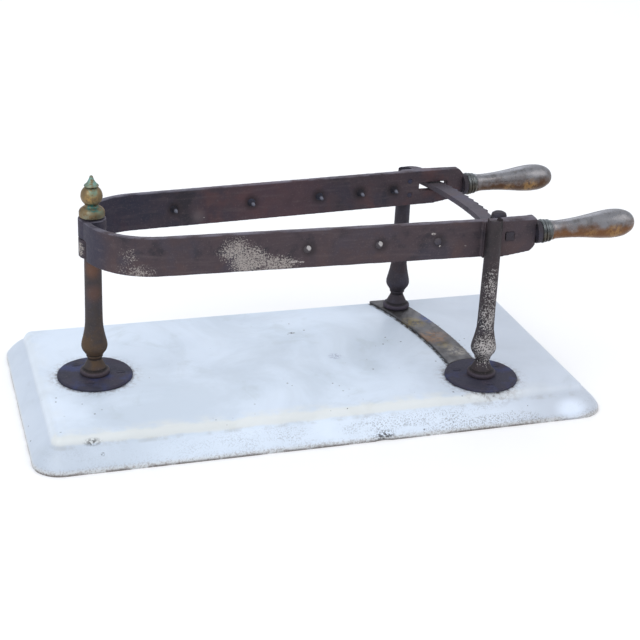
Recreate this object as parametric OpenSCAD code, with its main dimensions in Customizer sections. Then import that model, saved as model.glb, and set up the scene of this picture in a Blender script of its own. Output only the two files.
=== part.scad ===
// Butcher's ham clamp: two spiked iron arms hinged on a post, standing on a
// marble slab.  One arm is fixed; the other swings on the pivot post, its foot
// riding on a curved brass track, and a toothed latch bar passes through it.
// Frame: origin at the middle of the slab's underside, +X along the slab from
// the hinge to the handles, +Y towards the swinging arm, +Z up.

/* [Slab] */
// Length of the marble slab
slab_l = 600; // [500:1:760]
// Width of the marble slab
slab_w = 297; // [290:1:380]
// Thickness of the marble slab
slab_t = 30; // [24:0.5:45]
// Inset of the raised panel's edge from the slab's edge
panel_inset = 23.5; // [21:0.5:28]
// Corner radius of the slab's outline
slab_corner_r = 28; // [10:1:40]
// Height of the thin upright edge below the moulding
slab_edge_h = 4.5; // [2:0.5:8]
// Inset of the top of the moulding's slope
slope_inset = 17.5; // [10:0.5:19]
// Height of the top of the moulding's slope
slope_h = 20.5; // [14:0.5:22]

/* [Pivot] */
// Distance of the pivot post's axis from the slab's left end
pivot_inset = 79; // [60:1:110]
// Radius of the turned spigot that the knuckles turn on
spigot_r = 6; // [4.5:0.25:7.5]
// Outside radius of the hinge knuckles
knuckle_r = 14; // [12:0.5:18]

/* [Arms] */
// Height of the arms' lower edge above the slab's top
arm_clear = 134.5; // [100:1:180]
// Height of the iron strip
arm_h = 40; // [34:0.5:50]
// Thickness of the iron strip
arm_t = 6; // [4:0.5:8]
// Outside radius of the fixed arm's bow
fixed_bow_r = 70; // [58:1:84]
// Outside radius of the swinging arm's bow
moving_bow_r = 67; // [58:1:80]
// How far the bow's outer face runs past the pivot axis
bow_wrap = 11; // [9:0.5:12]
// Angle of the fixed arm to the slab's length
fixed_lean = 1.5; // [0:0.1:4]
// Angle of the swinging arm to the slab's length, as stored
moving_lean = 4.6; // [2:0.1:5.5]
// Thickness of the forged block at the end of each arm
block_t = 9.5; // [8:0.5:14]
// Distance from the fixed arm's bow centre to the end of its block
fixed_reach = 390.5; // [340:0.5:450]
// Distance from the swinging arm's bow centre to the end of its block
moving_reach = 386.5; // [340:0.5:450]
// Length of the fixed arm's block
fixed_block_l = 58.5; // [56:0.5:70]
// Length of the swinging arm's block
moving_block_l = 75.5; // [74:0.5:90]
// How far the blocks' undersides rise towards the handles
block_rise = 4.5; // [2:0.5:8]
// How far the swinging block's top falls towards the handle
block_fall = 1.5; // [0:0.5:5]
// How far the fixed block's top rises towards the handle
block_lift = 1.8; // [0:0.2:3]

/* [Spikes] */
// Distance of the fixed arm's first spike from its bow's centre
fixed_spike_1 = 145; // [100:1:180]
// Distance of the fixed arm's second spike
fixed_spike_2 = 220; // [190:1:250]
// Distance of the fixed arm's third spike
fixed_spike_3 = 283; // [260:1:300]
// Distance of the swinging arm's first spike from its bow's centre
moving_spike_1 = 45; // [20:1:90]
// Distance of the swinging arm's second spike
moving_spike_2 = 131; // [100:1:170]
// Distance of the swinging arm's third spike
moving_spike_3 = 210; // [180:1:230]
// Distance of the swinging arm's fourth spike
moving_spike_4 = 259; // [240:1:275]
// Distance of the swinging arm's fifth spike
moving_spike_5 = 300; // [285:1:305]
// Radius of a spike at its base
spike_r = 4; // [3:0.25:5]
// Length of a spike
spike_l = 11; // [6:0.5:16]
// Radius of a spike's riveted shank
spike_shank_r = 2.5; // [1.5:0.25:2.75]
// Radius of the hammered rivet end on the arm's outer face
spike_rivet_r = 3.8; // [3:0.1:5]

/* [Posts] */
// Radius of the posts' shafts at the top
post_top_r = 8; // [7:0.25:9]
// Radius of the pivot post's shaft at its shoulder
pivot_shoulder_r = 8.6; // [8:0.1:10]
// Depth of the flat where a post's side meets its arm's block
post_bite = 2.3; // [1.5:0.1:3]
// Distance of the fixed post's axis from the block's outer end
fixed_post_back = 50; // [46:0.5:51]
// Distance of the swinging post's axis from the block's outer end
moving_post_back = 66.5; // [65:0.5:68]
// How far the swinging post stops short of the strip's top edge
moving_post_drop = 4.5; // [0:0.5:5]
// Radius of the two rivets that hold each post to its block
post_rivet_r = 2.5; // [2:0.25:3]

/* [Flanges] */
// Radius of the two round flanges
flange_r = 38.8; // [34:0.2:44]
// Thickness of the flanges
flange_t = 3.3; // [2.5:0.1:5]
// Radius of the post's tenon through its flange
tenon_r = 6; // [4:0.25:8]
// Radius of the flange's screw circle
screw_circle_r = 26; // [22:0.5:30]
// Radius of a screw's shank
screw_r = 2.2; // [1.8:0.1:3]
// Radius of a countersunk screw head
screw_head_r = 4.6; // [4:0.1:6]
// Length of a screw
screw_l = 18; // [12:1:20]
// Radius of the lead plugs set in the marble
plug_r = 5; // [4:0.25:7]
// Depth of the lead plugs
plug_depth = 20; // [14:1:22]

/* [Track] */
// Radius of the brass track's middle line
track_r = 470; // [400:5:600]
// Width of the track
track_w = 31; // [24:1:36]
// Thickness of the track
track_t = 3; // [2:0.1:4]
// Distance from the pivot axis to the track's middle
track_reach = 384; // [370:1:400]
// Direction of the track's middle from the pivot
track_bearing = 6; // [3:0.5:9]
// How far the track is skewed from a true circle about the pivot
track_skew = 4; // [0:0.5:6]
// Radius of the track's two brass pins
track_pin_r = 2.5; // [2:0.25:3.5]

/* [Latch bar] */
// Inner radius of the toothed bar
bar_in_r = 408.5; // [405:0.5:411]
// Width of the bar without its teeth
bar_w = 16; // [13:0.5:17]
// Thickness of the bar
bar_t = 6; // [4:0.1:6.5]
// Height of the bar's middle above the arms' lower edge
bar_rise = 20.5; // [18:0.5:21]
// Bearing of the middle of the bar's finger tab from the pivot
bar_end = 19.4; // [18:0.1:20]
// Radius of the finger tab
tab_r = 15; // [12:0.5:18]
// How far the finger tab is set out from the bar's middle line
tab_out = 6.5; // [0:0.5:8]
// How far the bar is swung in about its pin, as stored
bar_swing = 1.8; // [0:0.1:2.5]
// Height of a tooth
tooth_h = 3; // [2:0.25:4]
// Number of teeth
tooth_count = 10; // [5:1:10]
// Angle from one tooth to the next, about the pivot
tooth_pitch = 1.57; // [1.2:0.01:1.6]
// Bearing of the first tooth
tooth_start = -0.9; // [-1.5:0.1:0]
// Length of the window in the swinging arm
window_l = 34.5; // [33:0.5:37]
// Height of the window
window_h = 9.6; // [8.5:0.1:12]
// Wall left between the window and the block's end
window_end = 20; // [18:0.5:21]
// Distance from the fixed arm's inner face to the latch pin
pin_reach = 27.5; // [24:0.5:30]
// Distance of the latch bracket's tenon from the block's outer end
latch_back = 29.5; // [24:0.5:31]
// How far the latch pin is set towards the handle from the tenon
pin_out = 1.8; // [0:0.1:3]
// Height of the tenon's middle above the bar's middle
tenon_rise = 1.8; // [0:0.1:3]
// Radius of the latch pin
pin_r = 4; // [3:0.25:5]
// Radius of the latch pin's head
pin_head_r = 8.2; // [7:0.2:9]
// Radius of the eye at the bar's near end
eye_r = 9.5; // [8:0.5:11]
// Thickness of each of the bracket's two ears
ear_t = 5.5; // [4:0.5:7]
// Side of the square tenon that is riveted through the arm
latch_tenon = 9.5; // [7:0.5:11]

/* [Handles] */
// Length of the fixed arm's handle
fixed_grip_l = 96; // [80:1:120]
// Length of the swinging arm's handle
moving_grip_l = 101; // [80:1:120]
// Largest radius of the handles
grip_r = 15.3; // [13:0.1:19]
// Upward tilt of the fixed arm's handle
fixed_tilt = 3; // [0:0.5:9]
// Upward tilt of the swinging arm's handle
moving_tilt = 0.5; // [0:0.5:9]
// Height of the fixed handle's root above the arm's lower edge
fixed_grip_z = 24; // [20:0.5:26]
// Height of the swinging handle's root above the arm's lower edge
moving_grip_z = 18; // [16:0.5:20]
// Length of the iron collar
collar_l = 5.5; // [4:0.5:10]
// Radius of the iron collar
collar_r = 12.2; // [11:0.2:14]
// Length of the ringed ferrule
ferrule_l = 11.5; // [10:0.5:20]
// Radius of the tang inside the handle
tang_r = 4.5; // [3.5:0.25:5.5]
// Length of the tang inside the handle
tang_in_grip = 60; // [40:1:70]

/* [Finial] */
// Height of the brass finial nut
finial_h = 42.5; // [36:0.5:52]
// Radius of the finial's flange
finial_r = 12.9; // [11:0.1:14]
// Thickness of the washer under the finial
washer_t = 1.5; // [1:0.1:3]
// Depth of the finial's socket on the spigot's threaded end
socket_depth = 14; // [10:0.5:18]

/* [Fits] */
// Radial clearance of a running or sliding fit
fit = 0.05; // [0.02:0.01:0.1]
// Gap between pieces that move past each other
gap = 0.4; // [0.3:0.05:0.8]

/* [Hidden] */
$fn = 64;
e = 0.01;

iron = "#4a3f44";
brass = "#8a6a45";

pivot = [pivot_inset - slab_l / 2, 0];
arm_z = slab_t + arm_clear;
arm_top = arm_z + arm_h;
post_foot_z = slab_t + flange_t;
fixed_bow_x = pivot[0] - bow_wrap + fixed_bow_r;
moving_bow_x = pivot[0] - bow_wrap + moving_bow_r;
split_z = arm_h / 2;
knuckle_clear_r = knuckle_r + 5;

fixed_in = fixed_bow_r - arm_t;
moving_in = moving_bow_r - arm_t;
post_side = block_t + post_top_r - post_bite;
fixed_post_s = fixed_reach - fixed_post_back;
moving_post_s = moving_reach - moving_post_back;
latch_s = fixed_reach - latch_back;
pin_s = latch_s + pin_out;
fixed_spikes = [fixed_spike_1, fixed_spike_2, fixed_spike_3];
moving_spikes = [moving_spike_1, moving_spike_2, moving_spike_3, moving_spike_4, moving_spike_5];
rivet_rises = [arm_h * 0.3, arm_h * 0.7];
window_s = moving_reach - window_end - window_l;

// Where a point on a fixed or a swinging arm lies in plan: s along it, v outwards
function fixed_at(s, v) = [fixed_bow_x + s * cos(fixed_lean) - v * sin(fixed_lean),
                           -s * sin(fixed_lean) - v * cos(fixed_lean)];
function moving_at(s, v) = [moving_bow_x + s * cos(moving_lean) - v * sin(moving_lean),
                            s * sin(moving_lean) + v * cos(moving_lean)];
fixed_post_at = fixed_at(fixed_post_s, fixed_in + post_side);
moving_post_at = moving_at(moving_post_s, moving_in + post_side);
pin_v = fixed_in - pin_reach;
pin_at = fixed_at(pin_s, pin_v);

bar_z = arm_z + bar_rise;
bar_mid_r = bar_in_r + bar_w / 2;
pin_bearing = atan2(pin_at[1] - pivot[1], pin_at[0] - pivot[0]);
pin_head_h = 7.6;

pivot_screw_bearings = [-12, 130, 250];
fixed_screw_bearings = [30, 150, 270];
track_pin_bearings = [3, 18.4];
panel_end_y = slab_w / 2 - panel_inset;

// One point of a smooth curve between b and c
function between(a, b, c, d, t) =
    0.5 * (2 * b + (c - a) * t + (2 * a - 5 * b + 4 * c - d) * t * t + (3 * b - a - 3 * c + d) * t * t * t);

// A smooth curve through the points of an outline, n steps from each to the next
function smooth(p, n = 4) =
    [for (i = [0:len(p) - 2]) for (k = [0:n - 1])
        between(p[max(i - 1, 0)], p[i], p[i + 1], p[min(i + 2, len(p) - 1)], k / n),
     p[len(p) - 1]];

// A point at a radius and bearing from the pivot axis
function polar(r, a) = [pivot[0] + r * cos(a), pivot[1] + r * sin(a)];

// ---- Slab ----

module rounded_plate(l, w, r, h) {
    linear_extrude(h) {
        square([l - 2 * r, w], center = true);
        square([l, w - 2 * r], center = true);
        for (x = [-1, 1], y = [-1, 1])
            translate([x * (l / 2 - r), y * (w / 2 - r)]) circle(r);
    }
}

// Corners of a rounded rectangle set in from the slab's edge, at a height
module slab_ring(inset, z, r) {
    for (x = [-1, 1], y = [-1, 1])
        translate([x * (slab_l / 2 - inset - r), y * (slab_w / 2 - inset - r), z - 0.5])
            cylinder(r = r, h = 0.5, $fn = 48);
}

// The moulding: a swelling slope up from the thin edge to the raised panel's foot
module slab_slope() {
    hull() {
        slab_ring(0, slab_edge_h, slab_corner_r);
        slab_ring(slope_inset * 0.42, (slab_edge_h + slope_h) * 0.54, slab_corner_r * 0.8);
        slab_ring(slope_inset * 0.75, slope_h - 2.2, slab_corner_r * 0.62);
        slab_ring(slope_inset, slope_h, slab_corner_r * 0.5);
    }
}

// The raised panel, with a steep step and a broad rounded edge
module slab_panel() {
    foot = slope_inset + 0.5;
    hull() {
        slab_ring(foot, slope_h, slab_corner_r * 0.46);
        slab_ring(foot + (panel_inset - foot) * 0.35, slab_t - 4.2, slab_corner_r * 0.44);
        slab_ring(panel_inset, slab_t - 1.6, slab_corner_r * 0.42);
        slab_ring(panel_inset + 4, slab_t - 0.4, slab_corner_r * 0.4);
        slab_ring(panel_inset + 8, slab_t, slab_corner_r * 0.36);
    }
}

module at_screws(centre, bearings) {
    for (a = bearings)
        translate([centre[0] + screw_circle_r * cos(a), centre[1] + screw_circle_r * sin(a), 0]) children();
}

module at_track_pins() {
    for (a = track_pin_bearings) translate(track_point(0, a)) children();
}

module all_plug_places() {
    at_screws(pivot, pivot_screw_bearings) children();
    at_screws(fixed_post_at, fixed_screw_bearings) children();
}

module marble_slab() {
    color("#dde3ea") difference() {
        union() {
            rounded_plate(slab_l, slab_w, slab_corner_r, slab_edge_h);
            slab_slope();
            slab_panel();
        }
        all_plug_places() translate([0, 0, slab_t - plug_depth]) cylinder(r = plug_r, h = plug_depth + 1);
        at_track_pins() translate([0, 0, slab_t - plug_depth / 2]) cylinder(r = track_pin_r, h = plug_depth);
    }
}

module lead_plugs() {
    color("#7d8084") all_plug_places() difference() {
        translate([0, 0, slab_t - plug_depth]) cylinder(r = plug_r, h = plug_depth);
        translate([0, 0, post_foot_z - screw_l]) cylinder(r = screw_r, h = screw_l);
    }
}

// ---- Flanges and their screws ----

module flange(centre, bearings) {
    color(iron) difference() {
        translate([centre[0], centre[1], slab_t]) rotate_extrude()
            polygon([[tenon_r + fit, 0], [flange_r, 0], [flange_r, flange_t * 0.55],
                     [flange_r - 1.2, flange_t], [tenon_r + fit, flange_t]]);
        at_screws(centre, bearings) screw_cut(fit);
    }
}

module screw_cut(play) {
    head_h = flange_t * 0.75;
    translate([0, 0, slab_t - 1]) cylinder(r = screw_r + play, h = flange_t + 1);
    translate([0, 0, post_foot_z - head_h])
        cylinder(r1 = screw_r + play, r2 = screw_head_r + play, h = head_h + e);
}

// Countersunk screws with a slot, their heads a little below the flange's face
module flange_screws(centre, bearings) {
    head_h = flange_t * 0.75;
    sunk = 0.2;
    color("#3a3638") at_screws(centre, bearings) difference() {
        union() {
            translate([0, 0, post_foot_z - screw_l]) cylinder(r = screw_r, h = screw_l - head_h);
            translate([0, 0, post_foot_z - head_h])
                cylinder(r1 = screw_r, r2 = screw_head_r - sunk, h = head_h - sunk);
        }
        translate([0, 0, post_foot_z]) cube([screw_head_r * 3, 1, 1.6], center = true);
    }
}

module pivot_flange() { flange(pivot, pivot_screw_bearings); }
module pivot_flange_screws() { flange_screws(pivot, pivot_screw_bearings); }
module fixed_flange() { flange(fixed_post_at, fixed_screw_bearings); }
module fixed_flange_screws() { flange_screws(fixed_post_at, fixed_screw_bearings); }

// ---- Posts ----

// Turned foot of every post, measured from its bearing face: a ring collar, a
// flare up to the neck, a bead and the bulb that the shaft grows out of
post_turning = [[14.2, 0], [15.2, 1.2], [15.3, 3.4], [14.5, 4.8], [12.6, 5.5], [11.7, 6.4], [11.2, 8],
                [9.8, 11], [8.3, 14], [7.4, 16.6], [7.3, 18.2], [8.2, 19.3], [8.6, 20.4], [8.3, 21.6],
                [9.3, 22.8], [10.4, 24.6], [12.4, 27.6], [13.4, 31.2], [13, 35.6], [11.4, 42.6],
                [9.8, 51], [9, 62]];

module turned_post(top_r, top_z) {
    outline = smooth(concat(post_turning, [[(top_r + 9) / 2, top_z * 0.7], [top_r, top_z]]), 3);
    rotate_extrude() polygon(concat([[0, 0]], outline, [[0, top_z]]));
}

module pivot_post() {
    shoulder = arm_z - 0.75 * gap - post_foot_z;
    color(iron) translate([pivot[0], pivot[1], post_foot_z]) {
        turned_post(pivot_shoulder_r, shoulder);
        translate([0, 0, -flange_t]) cylinder(r = tenon_r, h = flange_t + 1);
        translate([0, 0, shoulder - 1])
            cylinder(r = spigot_r, h = arm_top + washer_t - post_foot_z - shoulder + 1);
        translate([0, 0, arm_top - post_foot_z])
            cylinder(r = spigot_r - 0.5, h = washer_t + socket_depth - 1);
    }
}

// A post whose upper side is flattened where it is riveted to an arm's block;
// side is -1 for a post on the block's -Y face and 1 for one on its +Y face, and
// lift is how far the post's top goes above the strip's
module arm_post(foot_tenon, side, lift) {
    height = arm_top + lift - post_foot_z;
    difference() {
        union() {
            turned_post(post_top_r, height);
            if (foot_tenon) translate([0, 0, -flange_t]) cylinder(r = tenon_r, h = flange_t + 1);
        }
        translate([0, -side * (post_top_r - post_bite - e + 10), arm_z - post_foot_z - gap / 2])
            translate([-20, -10, 0]) cube([40, 20, arm_h + 10]);
        for (z = rivet_rises)
            translate([0, 0, arm_z - post_foot_z + z]) rotate([side * 90, 0, 0])
                cylinder(r = post_rivet_r + fit, h = post_top_r);
    }
}

module fixed_post() {
    color(iron) translate([fixed_post_at[0], fixed_post_at[1], post_foot_z])
        rotate([0, 0, -fixed_lean]) arm_post(true, -1, block_lift - 0.5);
}

module moving_post() {
    color(iron) translate([moving_post_at[0], moving_post_at[1], post_foot_z])
        rotate([0, 0, moving_lean]) arm_post(false, 1, -moving_post_drop);
}

// ---- Arms ----

// Frames of the arms: x runs along the arm from the bow's centre and y points
// outwards, away from the ham, with z from the arm's lower edge
module on_fixed_arm() {
    translate([fixed_bow_x, 0, arm_z]) rotate([0, 0, -fixed_lean]) mirror([0, 1, 0]) children();
}

module on_moving_arm() {
    translate([moving_bow_x, 0, arm_z]) rotate([0, 0, moving_lean]) children();
}

// Plan of the quarter bow, which starts a little past the pivot
module bow_plan(bow_r, lean) {
    far = 2 * bow_r;
    intersection() {
        difference() {
            circle(bow_r, $fn = 128);
            circle(bow_r - arm_t, $fn = 128);
        }
        polygon([[0.5, 0], [0.5, far], [-far, far], [-far * cos(lean), far * sin(lean)]]);
    }
}

// The first stretch of the bow, which the knuckle is forged on
module bow_start(bow_r, lean) {
    intersection() {
        bow_plan(bow_r, lean);
        rotate(-lean) translate([-bow_r - 1, -2]) square([bow_r / 2, knuckle_clear_r + 8]);
    }
}

// Side view of a block: its underside rises, and its end is eased at the top
module block_side(length, fall, ease) {
    top = arm_h - fall;
    polygon([[0, 0], [length - 36, 0], [length - 6, block_rise], [length - 2.5, block_rise + 3],
             [length, block_rise + 7], [length, top - ease], [length - ease * 0.6, top - ease * 0.3],
             [length - ease, top], [length - 50, arm_h], [0, arm_h]]);
}

// Places a handle's own frame: z runs out along the handle from the block's end
module on_grip(reach, bow_in, grip_z, tilt) {
    translate([reach, bow_in + block_t / 2, grip_z]) rotate([0, 90 - tilt, 0]) children();
}

// An arm without its holes; the knuckle takes the lower or the upper half of
// its height, and the other half is cut back to clear the other arm's knuckle
module arm_body(bow_r, lean, reach, block_l, fall, ease, grip_z, tilt, knuckle_low) {
    bow_in = bow_r - arm_t;
    knuckle_h = split_z - gap / 2;
    own_z = knuckle_low ? 0 : split_z + gap / 2;
    other_z = knuckle_low ? knuckle_h : -1;
    hinge = [(bow_wrap - bow_r) * cos(lean), (bow_r - bow_wrap) * sin(lean)];
    difference() {
        union() {
            difference() {
                union() {
                    linear_extrude(arm_h) {
                        bow_plan(bow_r, lean);
                        translate([0, bow_in]) square([reach - block_l + 1, arm_t]);
                    }
                    translate([reach - block_l, bow_in + block_t, 0]) rotate([90, 0, 0])
                        linear_extrude(block_t) block_side(block_l, fall, ease);
                    on_grip(reach, bow_in, grip_z, tilt) translate([0, 0, -6])
                        cylinder(r = tang_r, h = collar_l + ferrule_l + tang_in_grip + 6);
                }
                translate([hinge[0], hinge[1], other_z])
                    cylinder(r = knuckle_clear_r, h = arm_h - knuckle_h + 1);
            }
            translate([hinge[0], hinge[1], own_z]) cylinder(r = knuckle_r, h = knuckle_h);
            translate([0, 0, own_z]) linear_extrude(knuckle_h) bow_start(bow_r, lean);
        }
        translate([hinge[0], hinge[1], -1]) cylinder(r = spigot_r + fit, h = arm_h + 2);
    }
}

module spike_holes(places, bow_in) {
    for (s = places)
        translate([s, bow_in - 1, arm_h / 2]) rotate([-90, 0, 0])
            cylinder(r = spike_shank_r + fit, h = arm_t + 2);
}

module post_rivet_holes(s, bow_in) {
    for (z = rivet_rises)
        translate([s, bow_in - 1, z]) rotate([-90, 0, 0]) cylinder(r = post_rivet_r + fit, h = block_t + 2);
}

module fixed_arm() {
    color(iron) on_fixed_arm() difference() {
        arm_body(fixed_bow_r, fixed_lean, fixed_reach, fixed_block_l, -block_lift, 3,
                 fixed_grip_z, fixed_tilt, false);
        spike_holes(fixed_spikes, fixed_in);
        post_rivet_holes(fixed_post_s, fixed_in);
        translate([latch_s, fixed_in + block_t / 2, bar_rise + tenon_rise])
            cube([latch_tenon + 2 * fit, block_t + 2, latch_tenon + 2 * fit], center = true);
    }
}

module moving_arm() {
    color(iron) on_moving_arm() difference() {
        arm_body(moving_bow_r, moving_lean, moving_reach, moving_block_l, block_fall, 6,
                 moving_grip_z, moving_tilt, true);
        spike_holes(moving_spikes, moving_in);
        post_rivet_holes(moving_post_s, moving_in);
        translate([window_s, moving_in - 1, bar_rise - window_h / 2])
            cube([window_l, block_t + 2, window_h]);
    }
}

// Spikes with a shank through the strip, hammered over on the outer face
module spikes(places, bow_in) {
    for (s = places)
        translate([s, bow_in, arm_h / 2]) rotate([-90, 0, 0]) rotate_extrude()
            polygon([[0, -spike_l], [spike_r * 0.45, -spike_l * 0.6], [spike_r, 0], [spike_shank_r, 0],
                     [spike_shank_r, arm_t], [spike_rivet_r, arm_t], [spike_rivet_r * 0.7, arm_t + 0.8],
                     [0, arm_t + 1.1]]);
}

module fixed_arm_spikes() { color(iron) on_fixed_arm() spikes(fixed_spikes, fixed_in); }
module moving_arm_spikes() { color(iron) on_moving_arm() spikes(moving_spikes, moving_in); }

// Rivets filed flush with the block's inner face, blind in the post
module post_rivets(s, bow_in) {
    for (z = rivet_rises)
        translate([s, bow_in, z]) rotate([-90, 0, 0])
            cylinder(r = post_rivet_r, h = block_t + post_top_r - post_bite);
}

module fixed_post_rivets() { color(iron) on_fixed_arm() post_rivets(fixed_post_s, fixed_in); }
module moving_post_rivets() { color(iron) on_moving_arm() post_rivets(moving_post_s, moving_in); }

// ---- Handles ----

module collar() {
    rotate_extrude()
        polygon([[tang_r + fit, -2], [collar_r, -2], [collar_r, collar_l - 1.2],
                 [collar_r - 0.8, collar_l], [tang_r + fit, collar_l]]);
}

module ferrule() {
    ring = ferrule_l / 3;
    outline = smooth([[11, 0], [12.6, ring * 0.35], [12.4, ring * 0.8], [11.2, ring], [12, ring * 1.5],
                      [10.9, ring * 2], [11.6, ring * 2.45], [10.6, ring * 3]], 3);
    rotate_extrude() polygon(concat([[tang_r + fit, 0]], outline, [[tang_r + fit, ferrule_l]]));
}

module grip(length) {
    outline = smooth([[10, 0], [10.4, 0.02 * length], [9.7, 0.06 * length], [9.8, 0.16 * length],
                      [10.8, 0.31 * length], [grip_r * 0.83, 0.47 * length], [grip_r * 0.96, 0.62 * length],
                      [grip_r, 0.74 * length], [grip_r * 0.92, 0.86 * length], [grip_r * 0.66, 0.95 * length],
                      [grip_r * 0.34, 0.99 * length], [0, length]], 4);
    difference() {
        rotate_extrude() polygon(concat([[0, 0]], outline));
        translate([0, 0, -1]) cylinder(r = tang_r + fit, h = tang_in_grip + 2);
    }
}

module on_fixed_grip(out) {
    on_fixed_arm() on_grip(fixed_reach, fixed_in, fixed_grip_z, fixed_tilt) translate([0, 0, out]) children();
}

module on_moving_grip(out) {
    on_moving_arm() on_grip(moving_reach, moving_in, moving_grip_z, moving_tilt)
        translate([0, 0, out]) children();
}

// The collars are filed to sit flat on the blocks' ends
module fixed_collar() {
    color("#2f2c2e") difference() {
        on_fixed_grip(0) collar();
        on_fixed_arm() translate([fixed_reach - 50, 0, -50]) cube([50, fixed_bow_r + 50, 150]);
    }
}

module moving_collar() {
    color("#2f2c2e") difference() {
        on_moving_grip(0) collar();
        on_moving_arm() translate([moving_reach - 50, 0, -50]) cube([50, moving_bow_r + 50, 150]);
    }
}

module fixed_ferrule() { color(brass) on_fixed_grip(collar_l) ferrule(); }
module moving_ferrule() { color(brass) on_moving_grip(collar_l) ferrule(); }
module fixed_handle() { color(brass) on_fixed_grip(collar_l + ferrule_l) grip(fixed_grip_l); }
module moving_handle() { color(brass) on_moving_grip(collar_l + ferrule_l) grip(moving_grip_l); }

// ---- Track ----

// A point on the track at a bearing from the pivot and an offset across it
function track_mid() = polar(track_reach, track_bearing);
track_turn = track_bearing + track_skew;
track_centre = track_mid() - track_r * [cos(track_turn), sin(track_turn)];
function track_point(across, a) =
    let (swing = (a - track_bearing) * track_reach / track_r + track_turn)
    [track_centre[0] + (track_r + across) * cos(swing), track_centre[1] + (track_r + across) * sin(swing), 0];

module slide_track() {
    color("#8c7f6a") difference() {
        translate([0, 0, slab_t]) linear_extrude(track_t) intersection() {
            translate(track_centre) difference() {
                circle(track_r + track_w / 2, $fn = 256);
                circle(track_r - track_w / 2, $fn = 256);
            }
            translate([track_centre[0], fixed_post_at[1]])
                square([track_r * 2, panel_end_y - fixed_post_at[1] - 2]);
        }
        translate([fixed_post_at[0], fixed_post_at[1], slab_t - 1])
            cylinder(r = flange_r + gap / 2, h = track_t + 2);
        at_track_pins() translate([0, 0, slab_t - 1]) cylinder(r = track_pin_r, h = track_t + 2);
    }
}

module track_pins() {
    color(brass) at_track_pins() translate([0, 0, slab_t - plug_depth / 2])
        cylinder(r = track_pin_r, h = plug_depth / 2 + track_t);
}

// ---- Latch ----

ear_low = bar_z - bar_t / 2 - gap / 2 - ear_t;
ear_high = bar_z + bar_t / 2 + gap / 2;
fork_top = ear_high + ear_t;

// Forged fork, its square tenon riveted through the fixed arm's block
module latch_bracket() {
    fork_w = 2 * eye_r;
    throat = eye_r + 2.5;
    color(iron) difference() {
        on_fixed_arm() translate([0, 0, -arm_z]) {
            for (z = [ear_low, ear_high]) translate([pin_s, pin_v, z]) linear_extrude(ear_t) {
                circle(fork_w / 2);
                translate([-fork_w / 2, 0]) square([fork_w, pin_reach]);
            }
            translate([pin_s - fork_w / 2, pin_v + throat, ear_low])
                cube([fork_w, pin_reach - throat, fork_top - ear_low]);
            translate([latch_s - latch_tenon / 2, fixed_in - 1, bar_z + tenon_rise - latch_tenon / 2])
                cube([latch_tenon, block_t + 1.5, latch_tenon]);
        }
        translate([pin_at[0], pin_at[1], ear_low - 1]) cylinder(r = pin_r + fit, h = fork_top - ear_low + 2);
    }
}

// Pin with a round head above the fork and a hammered end below it
module latch_pin() {
    foot = 1.8;
    color(iron) translate([pin_at[0], pin_at[1], 0]) {
        translate([0, 0, ear_low - 0.5]) cylinder(r = pin_r, h = fork_top - ear_low + 1);
        translate([0, 0, ear_low - foot]) cylinder(r1 = pin_r, r2 = pin_r + 2, h = foot);
        translate([0, 0, fork_top]) rotate_extrude()
            polygon([[0, 0], [pin_head_r - 1, 0], [pin_head_r, 0.8], [pin_head_r, pin_head_h * 0.45],
                     [pin_head_r * 0.9, pin_head_h * 0.72], [pin_head_r * 0.6, pin_head_h * 0.92],
                     [0, pin_head_h]]);
    }
}

// Flat toothed bar, curved like an arc about the pivot and ending in a finger
// tab; its eye turns on the latch pin
module ratchet_bar() {
    root_r = bar_in_r + bar_w;
    span = bar_end - pin_bearing;
    tip_r = root_r + tooth_h;
    color(iron) translate([pin_at[0], pin_at[1], bar_z - bar_t / 2]) rotate(bar_swing) difference() {
        linear_extrude(bar_t) translate(-pin_at) {
            intersection() {
                translate(pivot) difference() {
                    circle(root_r, $fn = 256);
                    circle(bar_in_r, $fn = 256);
                }
                polygon([pivot, polar(2 * root_r, pin_bearing), polar(2 * root_r, pin_bearing + span / 2),
                         polar(2 * root_r, bar_end)]);
            }
            translate(polar(bar_mid_r + tab_out, bar_end)) circle(tab_r);
            translate(pin_at) circle(eye_r);
            for (i = [0:tooth_count - 1]) {
                a = tooth_start + i * tooth_pitch;
                polygon([polar(root_r - 1, a), polar(tip_r, a + 0.06), polar(tip_r - 0.4, a + 0.25),
                         polar(root_r, a + tooth_pitch * 0.95), polar(root_r - 1, a + tooth_pitch)]);
            }
        }
        translate([0, 0, -1]) cylinder(r = pin_r + fit, h = bar_t + 2);
    }
}

// ---- Finial ----

module hinge_washer() {
    color("#2f2c2e") translate([pivot[0], pivot[1], arm_top]) rotate_extrude()
        polygon([[spigot_r + fit, 0], [finial_r - 1.4, 0],
                 [finial_r - 1.4, washer_t], [spigot_r + fit, washer_t]]);
}

module finial_nut() {
    outline = smooth([[finial_r, 5.2], [finial_r * 0.93, 7.2], [9.8, 9.2], [7.6, 10.7], [6.9, 12.2],
                      [7.6, 13.7], [9.6, 16.2], [10.8, 19.6], [10.9, 22.2], [10.2, 25.6], [8.2, 28.8],
                      [5.6, 30.6]], 3);
    color(brass) translate([pivot[0], pivot[1], arm_top + washer_t]) difference() {
        rotate_extrude()
            polygon(concat([[0, 0], [finial_r - 0.6, 0], [finial_r, 0.8]], outline,
                           [[7.2, 31.6], [7.4, 32.6], [6.2, 34], [5, 35.6], [3.6, 37.4], [2.4, 39.2],
                            [1.8, 40.8], [1.2, finial_h - 0.4], [0, finial_h]]));
        translate([0, 0, -1]) cylinder(r = spigot_r - 0.5 + fit, h = socket_depth + 1);
    }
}

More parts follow.
